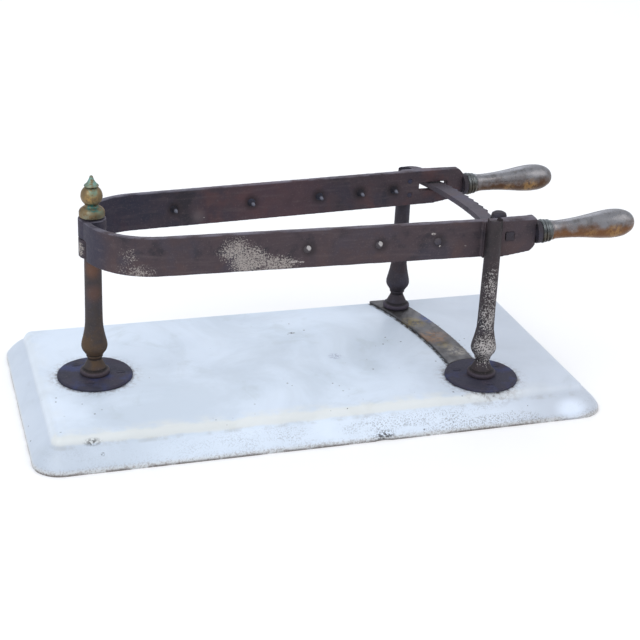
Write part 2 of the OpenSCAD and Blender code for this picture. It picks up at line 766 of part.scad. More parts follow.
marble_slab();
lead_plugs();
pivot_flange();
pivot_flange_screws();
pivot_post();
fixed_flange();
fixed_flange_screws();
fixed_post();
fixed_post_rivets();
slide_track();
track_pins();
fixed_arm();
fixed_arm_spikes();
fixed_collar();
fixed_ferrule();
fixed_handle();
latch_bracket();
latch_pin();
hinge_washer();
finial_nut();
moving_arm();
moving_arm_spikes();
moving_post();
moving_post_rivets();
moving_collar();
moving_ferrule();
moving_handle();
ratchet_bar();
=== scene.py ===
from math import cos, radians, sin

import bpy
from mathutils import Matrix, Vector


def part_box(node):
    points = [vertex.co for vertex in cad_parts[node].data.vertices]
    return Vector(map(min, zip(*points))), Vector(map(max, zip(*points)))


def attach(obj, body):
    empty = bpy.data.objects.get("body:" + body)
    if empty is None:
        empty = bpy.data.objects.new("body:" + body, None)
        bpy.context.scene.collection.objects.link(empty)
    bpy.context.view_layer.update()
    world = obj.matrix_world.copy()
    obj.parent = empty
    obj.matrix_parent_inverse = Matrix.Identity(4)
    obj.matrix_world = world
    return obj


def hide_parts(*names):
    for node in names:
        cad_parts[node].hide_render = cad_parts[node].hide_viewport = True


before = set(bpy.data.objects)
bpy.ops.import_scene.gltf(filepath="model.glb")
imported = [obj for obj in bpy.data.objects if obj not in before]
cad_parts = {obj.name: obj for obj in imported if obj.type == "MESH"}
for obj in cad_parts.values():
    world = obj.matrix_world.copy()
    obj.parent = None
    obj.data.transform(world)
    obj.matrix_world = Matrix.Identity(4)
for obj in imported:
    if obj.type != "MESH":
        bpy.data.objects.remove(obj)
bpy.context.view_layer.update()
mm = 0.001


# ---- Camera, floor and light ----
# The clamp stands on a plain pale floor in soft daylight, seen from the front
# left and a little above, through a long lens.

eye = Vector((-414.0, -1340.6, 699.5)) * mm
yaw, pitch, roll = 0.333, 0.393, 0.054
ahead = Vector((sin(yaw) * cos(pitch), cos(yaw) * cos(pitch), -sin(pitch)))
level = Vector((cos(yaw), -sin(yaw), 0))
upright = level.cross(ahead)
side = level * cos(roll) + upright * sin(roll)
top = upright * cos(roll) - level * sin(roll)

bpy.ops.object.camera_add()
camera = bpy.context.active_object
camera.name = "camera"
camera.matrix_world = Matrix((
    (side.x, top.x, -ahead.x, eye.x),
    (side.y, top.y, -ahead.y, eye.y),
    (side.z, top.z, -ahead.z, eye.z),
    (0, 0, 0, 1)))
camera.data.sensor_width = 36
camera.data.lens = 80.38
camera.data.shift_x = -0.0414
camera.data.shift_y = -0.0567
camera.data.clip_start = 0.05
camera.data.clip_end = 60
bpy.context.scene.camera = camera


def linear_colour(hex_colour):
    """An sRGB hex colour as the linear colour that shaders take."""
    parts = [int(hex_colour[i:i + 2], 16) / 255 for i in (1, 3, 5)]
    linear = [c / 12.92 if c <= 0.04045 else ((c + 0.055) / 1.055) ** 2.4 for c in parts]
    return (*linear, 1)


def add(tree, kind, settings=None, sockets=None, output=0):
    """Adds a node with its settings, fills its sockets with links, hex colours or plain
    values, and returns one of its outputs."""
    node = tree.nodes.new(kind)
    for name, value in (settings or {}).items():
        setattr(node, name, value)
    for socket, given in (sockets or {}).items():
        if isinstance(given, bpy.types.NodeSocket):
            tree.links.new(given, node.inputs[socket])
        elif isinstance(given, str):
            node.inputs[socket].default_value = linear_colour(given)
        else:
            node.inputs[socket].default_value = given
    return node.outputs[output] if node.outputs else None


def new_material(name):
    """An empty node material; returns it and its tree."""
    material = bpy.data.materials.new(name)
    material.use_nodes = True
    material.node_tree.nodes.clear()
    return material, material.node_tree


world = bpy.data.worlds.new("daylight")
bpy.context.scene.world = world
world.use_nodes = True
sky = world.node_tree.nodes["Background"]
sky.inputs["Color"].default_value = linear_colour("#f6f9ff")
sky.inputs["Strength"].default_value = 0.82
bpy.context.scene.view_settings.view_transform = "Standard"

bpy.ops.object.select_all(action="DESELECT")
bpy.ops.mesh.primitive_plane_add(size=30, location=(0, 0, 0))
floor = bpy.context.active_object
floor.name = "floor"
# Matt white paint: it shows no reflection, only the object's soft shadow
floor_paint, tree = new_material("matt_white_paint")
floor_shader = add(tree, "ShaderNodeBsdfPrincipled", None, {
    "Base Color": "#fbfbfb", "Roughness": 0.9, "Specular IOR Level": 0.1})
add(tree, "ShaderNodeOutputMaterial", None, {"Surface": floor_shader})
floor.data.materials.append(floor_paint)

for name, place, size, power, tint in (
        ("window_left", (-1.9, -1.5, 2.6), 2.6, 38, "#ffffff"),
        ("window_right", (2.4, -1.2, 2.2), 2.2, 18, "#fff8f0"),
        ("window_back", (0.4, 2.4, 2.4), 2.4, 20, "#f2f6ff")):
    bpy.ops.object.light_add(type="AREA", location=place)
    lamp = bpy.context.active_object
    lamp.name = name
    lamp.data.size = size
    lamp.data.energy = power
    lamp.data.color = linear_colour(tint)[:3]
    lamp.rotation_euler = (-Vector(place)).to_track_quat("-Z", "Y").to_euler()


# ---- Marble slab ----
# A 600 x 297 x 30 mm slab of white marble with a moulded edge: a thin upright
# band, a swelling slope and a raised panel with a broad rounded edge.  It is
# chipped and pitted along the front.

slab_low, slab_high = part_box("marble_slab")
slab_corner = 28 * mm
slab_centre = (slab_low + slab_high) / 2
slab_band = 3.4 * mm


def only(piece):
    """Selects one piece and makes it active, in object mode."""
    if bpy.context.mode != "OBJECT":
        bpy.ops.object.mode_set(mode="OBJECT")
    bpy.ops.object.select_all(action="DESELECT")
    piece.select_set(True)
    bpy.context.view_layer.objects.active = piece


def apply_modifier(piece, kind, **settings):
    """Adds a modifier with its settings and applies it."""
    only(piece)
    modifier = piece.modifiers.new(kind.lower(), kind)
    for setting, value in settings.items():
        setattr(modifier, setting, value)
    bpy.ops.object.modifier_apply(modifier=modifier.name)


def set_place(piece, angle):
    """Applies a piece's place to its mesh, recalculates its normals and smooths it."""
    only(piece)
    bpy.ops.object.transform_apply(location=True, rotation=True, scale=True)
    bpy.ops.object.mode_set(mode="EDIT")
    bpy.ops.mesh.select_all(action="SELECT")
    bpy.ops.mesh.remove_doubles(threshold=0.000005)
    bpy.ops.mesh.normals_make_consistent(inside=False)
    bpy.ops.object.mode_set(mode="OBJECT")
    bpy.ops.object.shade_smooth_by_angle(angle=radians(angle))


bpy.ops.object.select_all(action="DESELECT")
bpy.ops.mesh.primitive_plane_add(size=1, location=(slab_centre.x, slab_centre.y, 0))
slab = bpy.context.active_object
slab.name = "moulded_marble_slab"
slab.scale = (slab_high.x - slab_low.x, slab_high.y - slab_low.y, 1)
bpy.ops.object.transform_apply(location=True, rotation=True, scale=True)
bpy.ops.object.mode_set(mode="EDIT")
bpy.ops.mesh.select_all(action="SELECT")
bpy.ops.mesh.bevel(offset=slab_corner, segments=12, affect="VERTICES")
bpy.ops.mesh.select_all(action="SELECT")
bpy.ops.mesh.extrude_region_move(TRANSFORM_OT_translate={"value": (0, 0, slab_band)})
# The moulding's steps in and up, from the upright band to the raised panel
moulding = [(0.5, 1.2), (2.4, 3.2), (3.2, 3.7), (3.6, 3.3), (3.6, 2.7), (3.0, 1.9), (1.5, 0.9),
            (0.7, 1.1), (1.0, 2.6), (1.2, 2.2), (1.4, 1.6), (1.8, 1.2), (2.0, 0.7), (1.4, 0.3)]
for step_in, step_up in moulding:
    bpy.ops.mesh.inset(thickness=step_in * mm, depth=step_up * mm, use_even_offset=True)
set_place(slab, 60)

# Chips broken out of the lower front edge, as (x, y, z, radius): lumpy stones cut away from it
chips = [(47, -150.5, 1, 8), (36, -151, 1, 5), (58, -151, 0, 5), (-268, -141.5, 3, 4), (-205, -151, 1, 3.5),
         (-122, -151, 0, 3), (118, -151, 0, 3.5), (176, -151, 1, 4), (-30, -151, 0, 3), (252, -150.5, 1, 4)]
for index, (x, y, z, size) in enumerate(chips):
    bpy.ops.object.select_all(action="DESELECT")
    bpy.ops.mesh.primitive_ico_sphere_add(subdivisions=2, radius=size * mm, location=(x * mm, y * mm, z * mm))
    stone = bpy.context.active_object
    stone.rotation_euler = (index * 0.3, index * 0.2, index * 0.15)
    stone.scale = (1.5, 0.45, 0.7)
    bpy.ops.object.transform_apply(location=True, rotation=True, scale=True)
    apply_modifier(slab, "BOOLEAN", operation="DIFFERENCE", solver="EXACT", object=stone)
    bpy.data.objects.remove(stone)
only(slab)
bpy.ops.object.shade_smooth_by_angle(angle=radians(60))


smooth = {"interpolation_type": "SMOOTHSTEP"}


def lumps(tree, place, size_mm, start, end, detail=4, roughness=0.6, distortion=0.0):
    """A share of 0 to 1 that comes and goes in lumps of about size_mm: noise below start
    gives 0 and above end gives 1."""
    noise = add(tree, "ShaderNodeTexNoise", None, {
        "Vector": place, "Scale": 1000 / size_mm, "Detail": detail, "Roughness": roughness,
        "Distortion": distortion})
    return add(tree, "ShaderNodeMapRange", smooth, {0: noise, 1: start, 2: end})


def wavering(tree, place, size_mm, amount, detail=4, roughness=0.6):
    """A number that wanders from -amount to amount in lumps of about size_mm."""
    noise = add(tree, "ShaderNodeTexNoise", None, {
        "Vector": place, "Scale": 1000 / size_mm, "Detail": detail, "Roughness": roughness})
    return add(tree, "ShaderNodeMapRange", None, {0: noise, 3: -amount, 4: amount})


def laid_over(tree, body, colour, *shares):
    """Lays a colour over the body's, by all the shares, each 0 to 1, multiplied."""
    amount = shares[0]
    for share in shares[1:]:
        amount = add(tree, "ShaderNodeMath", {"operation": "MULTIPLY"}, {0: amount, 1: share})
    return add(tree, "ShaderNodeMix", {"data_type": "RGBA"}, {0: amount, 6: body, 7: colour}, 2)


def near_point(tree, place, x, y, z, inner_mm, outer_mm, squash=(1, 1, 1)):
    """A share that is 1 within inner_mm of a point given in mm and fades to 0 at outer_mm."""
    centred = add(tree, "ShaderNodeVectorMath", {"operation": "SUBTRACT"}, {
        0: place, 1: (x * mm, y * mm, z * mm)})
    squashed = add(tree, "ShaderNodeVectorMath", {"operation": "MULTIPLY"}, {0: centred, 1: squash})
    away = add(tree, "ShaderNodeVectorMath", {"operation": "LENGTH"}, {0: squashed}, "Value")
    return add(tree, "ShaderNodeMapRange", smooth, {0: away, 1: outer_mm * mm, 2: inner_mm * mm})


# Honed Carrara-type marble: satin and cool white, with faint grey clouds.  The
# rounded arrises are cream, the step's cove holds painted shade mottled like grime,
# grime sits in the pits, and the foot is darker.
marble, tree = new_material("honed_white_marble")
place = add(tree, "ShaderNodeTexCoord", output="Object")
along, depth, height = add(tree, "ShaderNodeSeparateXYZ", None, {0: place}).node.outputs
clouds = lumps(tree, place, 120, 0.35, 0.65, 5, 0.6, 0.6)
body = laid_over(tree, "#c3cfdc", "#d4e0ee", clouds)
shaded_end = add(tree, "ShaderNodeMapRange", smooth, {0: along, 1: 40 * mm, 2: 260 * mm})
body = laid_over(tree, body, "#b9bfca", shaded_end, 0.55)
body = laid_over(tree, body, "#a9b4b9", lumps(tree, place, 46, 0.56, 0.72, 6, 0.6, 0.5), 0.28)

# The arris is painted lighter cream along the front and a little at the left end
waved = add(tree, "ShaderNodeMath", {"operation": "ADD"}, {
    0: height, 1: wavering(tree, place, 30, 3 * mm, 3)})
arris = (add(tree, "ShaderNodeMapRange", smooth, {0: waved, 1: 20.5 * mm, 2: 23.5 * mm}),
         add(tree, "ShaderNodeMapRange", smooth, {0: waved, 1: 30.8 * mm, 2: 28.6 * mm}))
front_edge = add(tree, "ShaderNodeMath", {"operation": "MULTIPLY"}, {
    0: add(tree, "ShaderNodeMapRange", smooth, {0: depth, 1: -106 * mm, 2: -122 * mm}),
    1: add(tree, "ShaderNodeMapRange", smooth, {0: along, 1: 280 * mm, 2: 100 * mm})})
left_edge = add(tree, "ShaderNodeMapRange", smooth, {0: along, 1: -260 * mm, 2: -272 * mm, 4: 0.3})
cream_arris = add(tree, "ShaderNodeMath", {"operation": "MAXIMUM"}, {0: front_edge, 1: left_edge})
body = laid_over(tree, body, "#e2e1d6", *arris, cream_arris, 0.52)

# The swelling slope is painted lighter in its middle
front = add(tree, "ShaderNodeMapRange", smooth, {0: depth, 1: -116 * mm, 2: -134 * mm})
swell = (add(tree, "ShaderNodeMapRange", smooth, {0: height, 1: 24.5 * mm, 2: 19 * mm}),
         add(tree, "ShaderNodeMapRange", smooth, {0: height, 1: 2 * mm, 2: 6 * mm}),
         add(tree, "ShaderNodeMapRange", smooth, {0: along, 1: -270 * mm, 2: -90 * mm}),
         add(tree, "ShaderNodeMapRange", smooth, {0: along, 1: 280 * mm, 2: 140 * mm}))
body = laid_over(tree, body, "#e2eefd", *swell, 0.45)
# Painted shade: below the panel the slope is darker towards both ends
ends = add(tree, "ShaderNodeMath", {"operation": "MAXIMUM"}, {
    0: add(tree, "ShaderNodeMapRange", smooth, {0: along, 1: -150 * mm, 2: -290 * mm}),
    1: add(tree, "ShaderNodeMapRange", smooth, {0: along, 1: 140 * mm, 2: 270 * mm})})
below_panel = add(tree, "ShaderNodeMapRange", smooth, {0: height, 1: 27 * mm, 2: 20 * mm})
body = laid_over(tree, body, "#adb5c1", ends, below_panel, 0.42)
foot_band = add(tree, "ShaderNodeMapRange", smooth, {0: height, 1: 6.5 * mm, 2: 2.5 * mm})
body = laid_over(tree, body, "#d5d0c4", foot_band, 0.4)

# Painted shade, mottled like grime, in the step's cove; grime mottled over the front; and darker along the
# foot
step_cove_shade = (add(tree, "ShaderNodeMapRange", smooth, {0: height, 1: 18.6 * mm, 2: 20.3 * mm}),
             add(tree, "ShaderNodeMapRange", smooth, {0: height, 1: 24.5 * mm, 2: 21 * mm}))
body = laid_over(tree, body, "#8d8778", *step_cove_shade, lumps(tree, place, 22, 0.46, 0.62, 5, 0.65), front, 0.28)
lip = (front, add(tree, "ShaderNodeMapRange", smooth, {0: height, 1: 24 * mm, 2: 14 * mm}))
lengthened = add(tree, "ShaderNodeMapping", {"vector_type": "POINT"}, {
    "Vector": place, "Scale": (0.45, 1, 1)})
more_to_the_right = add(tree, "ShaderNodeMapRange", smooth, {0: along, 1: -190 * mm, 2: 60 * mm, 3: 0.25})
body = laid_over(tree, body, "#7b7c7e", lumps(tree, place, 1.5, 0.50, 0.60, 3, 0.65),
                 lumps(tree, lengthened, 24, 0.44, 0.60), *lip, more_to_the_right, 0.62)
low_edge = add(tree, "ShaderNodeMapRange", smooth, {0: height, 1: 9 * mm, 2: 1 * mm})
body = laid_over(tree, body, "#7c7069", lumps(tree, place, 2.2, 0.50, 0.58, 4, 0.7), low_edge, front, 0.6)
dark_foot = add(tree, "ShaderNodeMapRange", smooth, {0: height, 1: 3.4 * mm, 2: 0.4 * mm})
body = laid_over(tree, body, "#4f453f", dark_foot, lumps(tree, place, 22, 0.34, 0.56, 5, 0.65), 0.85)

# Pits: small ones close together near the front, and wider apart all over
near_front = add(tree, "ShaderNodeMapRange", smooth, {0: depth, 1: -94 * mm, 2: -108 * mm})
for apart_mm, lump_mm, reach, share in ((7, 34, near_front, 0.9), (12, 60, 1.0, 0.75)):
    cell = add(tree, "ShaderNodeTexVoronoi", {"feature": "F1"}, {"Vector": place, "Scale": 1000 / apart_mm},
               "Distance")
    pit = add(tree, "ShaderNodeMapRange", smooth, {0: cell, 1: 0.11, 2: 0.06})
    body = laid_over(tree, body, "#33323a", pit, lumps(tree, place, lump_mm, 0.55, 0.64, 3), reach, share)

# Single blots, as (x, y, z, size, length), a bluish bruise and a pale patch on the front right corner
ragged = lumps(tree, place, 3, 0.45, 0.53, 5, 0.75)
blots = [(-243, -127, 22.5, 4.4, 2.2), (-250, -126, 22, 3, 1.5), (155, -117, 30, 2.6, 0.5),
         (134, -116, 29, 1.8, 1), (-235, -139, 15, 2, 1), (48, -148, 6, 6, 2),
         (-30, -60, 30, 1.3, 1), (-27, -66, 30, 1.0, 1), (8, 60, 30, 2.2, 2)]
for x, y, z, size, length in blots:
    blot = near_point(tree, place, x, y, z, size * 0.4, size * 1.3, (1 / length, 1, 1))
    body = laid_over(tree, body, "#2f2c2c", blot, ragged, 0.9)
body = laid_over(tree, body, "#7d86a4", near_point(tree, place, 38, -8, 30, 2, 10), ragged, 0.6)
body = laid_over(tree, body, "#dfeafa", near_point(tree, place, 259, -145, 12, 4, 17, (0.7, 1, 1)), 0.85)

# Rusty dirt in a broad halo round the two flanges, and the marble darker in a broken rim at their edge
crumbs = lumps(tree, place, 6, 0.44, 0.6, 6, 0.75)
rim_crumbs = add(tree, "ShaderNodeMath", {"operation": "MULTIPLY_ADD"}, {0: crumbs, 1: 0.6, 2: 0.3})
for flange in ("pivot_flange", "fixed_flange"):
    low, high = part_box(flange)
    middle = ((low.x + high.x) / 2 / mm, (low.y + high.y) / 2 / mm, slab_high.z / mm)
    flange_radius = (high.x - low.x) / 2 / mm
    halo = near_point(tree, place, *middle, flange_radius - 0.8, flange_radius + 15.2)
    rim = near_point(tree, place, *middle, flange_radius - 0.3, flange_radius + 4.2)
    body = laid_over(tree, body, "#7a6d66", halo, crumbs, 0.45)
    body = laid_over(tree, body, "#4a4244", rim, rim_crumbs)

# The marble is darker under and beside the brass track, in an arc about its own centre
track_centre = (-302 * mm, -42 * mm, slab_high.z)
track_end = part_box("slide_track")[1].y
from_centre = add(tree, "ShaderNodeVectorMath", {"operation": "SUBTRACT"}, {0: place, 1: track_centre})
track_radius = add(tree, "ShaderNodeVectorMath", {"operation": "LENGTH"}, {0: from_centre}, "Value")
gully = (add(tree, "ShaderNodeMapRange", smooth, {0: track_radius, 1: 450.5 * mm, 2: 453.5 * mm}),
         add(tree, "ShaderNodeMapRange", smooth, {0: along, 1: 0, 2: 20 * mm}),
         add(tree, "ShaderNodeMapRange", smooth, {0: track_radius, 1: 490 * mm, 2: 487 * mm}),
         add(tree, "ShaderNodeMapRange", smooth, {0: depth, 1: -90 * mm, 2: -80 * mm}),
         add(tree, "ShaderNodeMapRange", smooth, {0: depth, 1: track_end, 2: track_end - 3 * mm}))
crumbling = add(tree, "ShaderNodeMapRange", smooth, {0: crumbs, 1: -0.4, 2: 0.6})
body = laid_over(tree, body, "#46423f", *gully, crumbling)

pits = add(tree, "ShaderNodeTexNoise", None, {
    "Vector": place, "Scale": 1000 / 3.5, "Detail": 4, "Roughness": 0.7, "Distortion": 0})
marble_bump = add(tree, "ShaderNodeBump", None, {"Strength": 0.22, "Distance": 0.5 * mm, "Height": pits})
marble_rough = lumps(tree, place, 40, -0.5, 1.7, 3)
marble_shader = add(tree, "ShaderNodeBsdfPrincipled", None, {
    "IOR": 1.486, "Base Color": body, "Roughness": marble_rough, "Normal": marble_bump})
add(tree, "ShaderNodeOutputMaterial", None, {"Surface": marble_shader})
slab.data.materials.clear()
slab.data.materials.append(marble)
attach(slab, "base")
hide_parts("marble_slab")


# ---- Forged arms ----
# The two arms are wrought-iron strip on edge, bent round and forged thicker at
# the handle end, hammered by hand and left to brown.

def forged_iron(name, dark="#302b32", base="#433a3f", rust="#4f3f40", blue="#424251", blue_share=0.5,
                worn=(), rings=(), marks=(), worn_colour="#a49d98", fleck_mm=1.5, bareness=0.2, streak=0.0,
                gloss=0.5, tints=(), bands=(), highlit_top_edge=0):
    """Browned wrought iron: a dark oxide skin, rusty and bluish in clouds, lumpy from the
    hammer.  worn, rings, marks and tints are bare patches, dark halos, small scratches and
    broad tints, in mm; bands go round a post, and the upper edge at the height highlit_top_edge
    is painted pale, a painted highlight."""
    material, tree = new_material(name)
    place = add(tree, "ShaderNodeTexCoord", output="Object")
    skin = add(tree, "ShaderNodeTexNoise", None, {
        "Vector": place, "Scale": 1000 / 40, "Detail": 6, "Roughness": 0.62, "Distortion": 0.4})
    body = laid_over(tree, dark, base, add(tree, "ShaderNodeMapRange", smooth, {0: skin, 1: 0.34, 2: 0.5}))
    rusty = add(tree, "ShaderNodeMapRange", smooth, {0: skin, 1: 0.5, 2: 0.68})
    body = laid_over(tree, body, rust, rusty, 0.85)
    body = laid_over(tree, body, blue, lumps(tree, place, 30, 0.48, 0.66), blue_share)
    for x, y, z, inner, outer, colour, share in tints:
        body = laid_over(tree, body, colour, near_point(tree, place, x, y, z, inner, outer), share)
    for band_height, half_width, colour, share in bands:
        band = near_point(tree, place, 0, 0, band_height, half_width * 0.5, half_width * 1.5, (0, 0, 1))
        body = laid_over(tree, body, colour, band, share)
    body = laid_over(tree, body, "#746869", lumps(tree, place, 1.7, 0.56, 0.70, 3, 0.7), 0.3)
    if streak:
        drawn = add(tree, "ShaderNodeMapping", {"vector_type": "POINT"}, {
            "Vector": place, "Rotation": (0, 0, radians(streak)), "Scale": (0.12, 0.4, 1)})
        body = laid_over(tree, body, "#6a5f60", lumps(tree, drawn, 4.5, 0.5, 0.72, 4, 0.65), 0.2)
    for x, y, z, inner, outer in rings:
        body = laid_over(tree, body, "#231f22", near_point(tree, place, x, y, z, inner, outer), 0.6)
    # A painted highlight: the upper edge painted pale, broken up in lumps
    if highlit_top_edge:
        height = add(tree, "ShaderNodeSeparateXYZ", None, {0: place}, 2)
        rim = add(tree, "ShaderNodeMapRange", smooth, {
            0: height, 1: (highlit_top_edge - 1.6) * mm, 2: (highlit_top_edge - 0.3) * mm})
        lengthened = add(tree, "ShaderNodeMapping", {"vector_type": "POINT"}, {
            "Vector": place, "Scale": (0.3, 1, 1)})
        body = laid_over(tree, body, "#858391", rim, lumps(tree, lengthened, 7, 0.34, 0.6, 4, 0.7), 0.5)
    if worn:
        bare = 0.0
        for x, y, z, inner, outer, squash in worn:
            spot = near_point(tree, place, x, y, z, inner, outer, squash)
            bare = add(tree, "ShaderNodeMath", {"operation": "MAXIMUM"}, {0: bare, 1: spot})
        inside = add(tree, "ShaderNodeMapRange", smooth, {0: bare, 1: 0, 2: 0.25})
        bare = add(tree, "ShaderNodeMath", {"operation": "MULTIPLY_ADD"}, {
            0: wavering(tree, place, 9, 0.45, 4, 0.7), 1: inside, 2: bare})
        flecks = add(tree, "ShaderNodeTexNoise", None, {
            "Vector": place, "Scale": 1000 / fleck_mm, "Detail": 5, "Roughness": 0.7, "Distortion": 0})
        raised = add(tree, "ShaderNodeMath", {"operation": "MULTIPLY_ADD"}, {0: bare, 1: bareness, 2: flecks})
        shown = add(tree, "ShaderNodeMapRange", smooth, {0: raised, 1: 0.60, 2: 0.72})
        within = add(tree, "ShaderNodeMapRange", smooth, {0: bare, 1: 0.03, 2: 0.3})
        body = laid_over(tree, body, worn_colour, shown, within, 0.88)
    for x, y, z, size, length in marks:
        scratch = near_point(tree, place, x, y, z, size * 0.4, size, (1 / length, 1 / length, 1))
        body = laid_over(tree, body, "#b5aeab", scratch, lumps(tree, place, 1.4, 0.42, 0.5, 3))
    hammering = add(tree, "ShaderNodeTexNoise", None, {
        "Vector": place, "Scale": 1000 / 4.5, "Detail": 6, "Roughness": 0.68, "Distortion": 0})
    bump = add(tree, "ShaderNodeBump", None, {"Strength": 0.4, "Distance": 0.5 * mm, "Height": hammering})
    rough = add(tree, "ShaderNodeMapRange", smooth, {0: skin, 1: -gloss - 0.5, 2: 1.5})
    shader = add(tree, "ShaderNodeBsdfPrincipled", None, {
        "Metallic": 0.5, "Base Color": body, "Roughness": rough, "Normal": bump})
    add(tree, "ShaderNodeOutputMaterial", None, {"Surface": shader})
    return material


def fit_out(piece, body_name, node, material):
    """Gives a finished piece its material, the body it rides on and the node it replaces."""
    piece.data.materials.clear()
    piece.data.materials.append(material)
    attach(piece, body_name)
    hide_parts(node)


def forged_copy(node, name, body_name, material, skin_mm, hammer_mm=0.25):
    """A merged copy of a CAD piece with its edges worn round and its faces left uneven."""
    piece = bpy.data.objects.new(name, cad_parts[node].data.copy())
    bpy.context.scene.collection.objects.link(piece)
    only(piece)
    bpy.ops.object.mode_set(mode="EDIT")
    bpy.ops.mesh.select_all(action="SELECT")
    bpy.ops.mesh.remove_doubles(threshold=0.00001)
    bpy.ops.object.mode_set(mode="OBJECT")
    apply_modifier(piece, "REMESH", mode="VOXEL", voxel_size=skin_mm * mm)
    apply_modifier(piece, "SMOOTH", factor=0.5, iterations=2)
    hammer = bpy.data.textures.new(name + "_hammer", "CLOUDS")
    hammer.noise_scale = 14 * mm
    apply_modifier(piece, "DISPLACE", texture=hammer, texture_coords="LOCAL",
                   strength=hammer_mm * mm, mid_level=0.5)
    bpy.ops.object.shade_smooth()
    fit_out(piece, body_name, node, material)
    return piece


arm_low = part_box("moving_arm")[0].z / mm
strip_height = 40
arm_top = arm_low + strip_height
arm_middle = arm_low + strip_height / 2
# Where each bow's centre lies along the slab, and each arm's lean to it in degrees
fixed_bow_x = -162
moving_bow_x = -165
fixed_lean = -1.5
moving_lean = 4.6


def along_and_out(lean, side):
    """Unit vectors along an arm that leans by some degrees, and out through its outer face."""
    forward = Vector((cos(radians(lean)), sin(radians(lean)), 0))
    outward = Vector((-sin(radians(lean)), cos(radians(lean)), 0)) * side
    return forward, outward


fixed_arm_iron = forged_iron(
    "rubbed_arm_iron", base="#483d42", rust="#564647", blue="#40404e", blue_share=0.35, streak=1.5,
    highlit_top_edge=arm_top, tints=((-232, -22, arm_middle, 16, 42, "#353648", 0.75),),
    worn=((-92, -71, 188, 2, 24, (0.9, 1, 1.1)), (-78, -72, 176, 8, 24, (0.8, 1, 1.1)),
          (-50, -73, 170, 3, 17, (0.5, 1, 1.1)), (-190, -70, 168, 0, 17, (0.6, 1, 1.1)),
          (-207, -66, 170, 1, 16, (0.8, 1, 1.1)), (-200, -66, 184, -4, 16, (0.8, 1, 1))),
    rings=((-17, -74, arm_middle, 4, 11), (58, -76, arm_middle, 4, 11), (121, -77, arm_middle, 4, 11)),
    marks=((114, -77, 193, 1.6, 2), (122, -77, 179, 1.6, 1), (118, -77, 183, 1.0, 1), (-32, -73, 172, 1.8, 3),
           (-24, -73, 171, 1.2, 3), (150, -79, 178, 0.9, 2)))
moving_arm_iron = forged_iron(
    "brown_arm_iron", base="#453a40", rust="#5a4244", blue="#30303f", blue_share=0.5, streak=-4.6,
    highlit_top_edge=arm_top,
    tints=((-195, 50, arm_middle, 20, 80, "#2c2e40", 0.6), (-10, 73, arm_middle, 20, 80, "#5c4247", 0.45),
           (-98, 66, 174, 1, 12, "#6f6567", 0.45)),
    worn=((-236, -6, 174, 3, 9, (1, 1, 0.7)),),
    rings=((-124, 64, arm_middle, 4, 12), (-39, 71, arm_middle, 4, 12), (39, 77, arm_middle, 4, 12),
           (88, 81, arm_middle, 4, 12), (129, 84, arm_middle, 4, 12)),
    marks=((-92, 66, 172, 0.9, 2),))
forged_copy("fixed_arm", "forged_fixed_arm", "base", fixed_arm_iron, 0.9)
forged_copy("moving_arm", "forged_swinging_arm", "swinging_arm", moving_arm_iron, 0.9)


# ---- Turned posts, feet and flanges ----
# Three turned iron posts of one pattern: a thick ring at the foot, a cone, a
# bead, and a bulb that the long shaft grows out of.  Two stand on round plates.

def smooth_outline(points, steps):
    """A smooth curve through the (radius, height) points of an outline."""
    ends = [points[0]] + list(points) + [points[-1]]
    curve = []
    for a, b, c, d in zip(ends, ends[1:], ends[2:], ends[3:]):
        for step in range(steps):
            t = step / steps
            curve.append(tuple(0.5 * (2 * q + (r - p) * t + (2 * p - 5 * q + 4 * r - s) * t * t
                                      + (3 * q - p - 3 * r + s) * t ** 3)
                               for p, q, r, s in zip(a, b, c, d)))
    return curve + [points[-1]]


def turned(name, outline, around, foot, axis=Vector((0, 0, 1))):
    """Turns an outline of (radius, height) rings, in mm, from a foot along an axis."""
    bpy.ops.object.select_all(action="DESELECT")
    last_radius, last_height = outline[0]
    bpy.ops.mesh.primitive_circle_add(vertices=around, radius=last_radius * mm, fill_type="NGON",
                                      location=(0, 0, last_height * mm))
    piece = bpy.context.active_object
    piece.name = name
    bpy.ops.object.transform_apply(location=True, rotation=True, scale=True)
    bpy.ops.object.mode_set(mode="EDIT")
    bpy.ops.mesh.select_all(action="SELECT")
    for radius, ring_height in outline[1:]:
        bpy.ops.mesh.extrude_region_move(
            TRANSFORM_OT_translate={"value": (0, 0, (ring_height - last_height) * mm)})
        share = radius / last_radius
        bpy.ops.transform.resize(value=(share, share, 1), center_override=(0, 0, 0))
        last_radius, last_height = radius, ring_height
    bpy.ops.object.mode_set(mode="OBJECT")
    turn = axis.normalized().to_track_quat("Z", "Y").to_matrix().to_4x4()
    piece.matrix_world = Matrix.Translation(foot * mm) @ turn
    set_place(piece, 32)
    return piece


post_turning = [(14.2, 0), (15.2, 1.2), (15.3, 3.4), (14.5, 4.8), (12.6, 5.5), (11.7, 6.4), (11.2, 8),
                (9.8, 11), (8.3, 14), (7.4, 16.6), (7.3, 18.2), (8.2, 19.3), (8.6, 20.4), (8.3, 21.6),
                (9.3, 22.8), (10.4, 24.6), (12.4, 27.6), (13.4, 31.2), (13, 35.6), (11.4, 42.6),
                (9.8, 51), (9, 62)]
post_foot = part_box("fixed_flange")[1].z / mm
